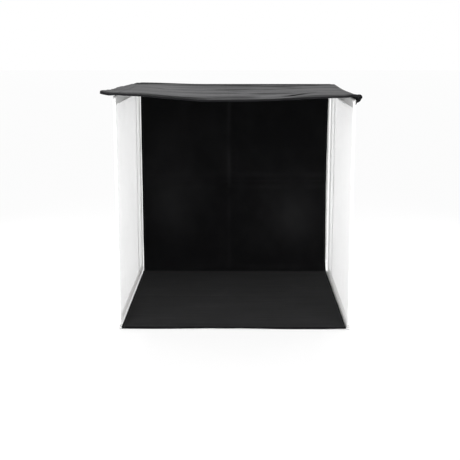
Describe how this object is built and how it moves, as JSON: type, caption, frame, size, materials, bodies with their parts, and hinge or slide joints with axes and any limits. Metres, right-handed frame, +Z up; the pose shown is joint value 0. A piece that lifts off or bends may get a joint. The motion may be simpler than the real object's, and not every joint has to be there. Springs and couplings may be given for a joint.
{
  "type": "light tent cube",
  "caption": "Folding tabletop light tent: white diffuser side walls on wire frames, a hung black backdrop and a black flip-over cover, open at the front.",
  "frame": {"origin": "middle of the floor panel's underside", "axes": "+X to the right and +Y to the back, seen from the open front, +Z up"},
  "size_m": [0.5589, 0.51, 0.5067],
  "materials": {
    "white_nylon": "woven nylon cloth, matt",
    "diffuser_nylon": "thin translucent woven nylon",
    "white_tape": "white woven hook tape and binding",
    "black_tape": "black loop tape",
    "black_backdrop_cloth": "napped black cloth",
    "black_nylon": "coated black nylon with a soft sheen",
    "spring_steel": "drawn wire",
    "crimped_aluminium": "satin, crimped",
    "grey_board": "pressed fibre board"
  },
  "bodies": {
    "floor": {"floor_sleeve": "white_nylon", "floor_board": "grey_board", "floor_front_binding": "white_tape", "backdrop": "black_backdrop_cloth", "left_hinge_tape": "white_nylon", "right_hinge_tape": "white_nylon", "back_hinge_tape": "white_nylon"},
    "left_wall": {"left_wire_frame": "spring_steel", "left_wire_ferrule": "crimped_aluminium", "left_diffuser": "diffuser_nylon", "left_front_hem": "white_nylon", "left_rear_hem": "white_nylon", "left_bottom_hem": "white_nylon", "left_top_hem": "white_nylon", "left_hook_tape": "white_tape"},
    "right_wall": {"right_wire_frame": "spring_steel", "right_wire_ferrule": "crimped_aluminium", "right_diffuser": "diffuser_nylon", "right_front_hem": "white_nylon", "right_rear_hem": "white_nylon", "right_bottom_hem": "white_nylon", "right_top_hem": "white_nylon", "right_hook_tape": "white_tape"},
    "back_wall": {"back_wire_frame": "spring_steel", "back_wire_ferrule": "crimped_aluminium", "back_panel": "white_nylon", "back_left_hem": "white_nylon", "back_right_hem": "white_nylon", "back_bottom_hem": "white_nylon", "back_top_hem": "white_nylon", "back_hook_tape": "white_tape", "backdrop_loop_tape": "black_tape"},
    "cover": {"cover_panel": "black_nylon", "cover_left_flap": "black_nylon", "cover_right_flap": "black_nylon", "cover_front_hem": "black_nylon", "cover_left_hem_end": "black_nylon", "cover_right_hem_end": "black_nylon", "cover_left_loop_tape": "black_tape", "cover_right_loop_tape": "black_tape", "cover_hinge_tape": "black_nylon"}
  },
  "joints": [
    {"name": "left_wall_fold", "type": "hinge", "parent": "floor", "child": "left_wall", "pos_m": [-0.245, 0, 0.0142], "axis": [0, 1, 0], "range_deg": [0, 90], "deforming": ["left_hinge_tape"]},
    {"name": "right_wall_fold", "type": "hinge", "parent": "floor", "child": "right_wall", "pos_m": [0.245, 0, 0.0065], "axis": [0, -1, 0], "range_deg": [0, 90], "deforming": ["right_hinge_tape"]},
    {"name": "back_wall_fold", "type": "hinge", "parent": "floor", "child": "back_wall", "pos_m": [0, 0.245, 0.0258], "axis": [1, 0, 0], "range_deg": [0, 90], "deforming": ["backdrop", "back_hinge_tape"]},
    {"name": "cover_flip", "type": "hinge", "parent": "back_wall", "child": "cover", "pos_m": [0, 0.2515, 0.5015], "axis": [-1, 0, 0], "range_deg": [0, 270], "deforming": ["cover_left_flap", "cover_right_flap", "cover_left_hem_end", "cover_right_hem_end", "cover_left_loop_tape", "cover_right_loop_tape", "cover_hinge_tape"]}
  ],
  "couplings": [
    {"joint": "cover_flip", "follows": "back_wall_fold", "ratio": 3}
  ]
}
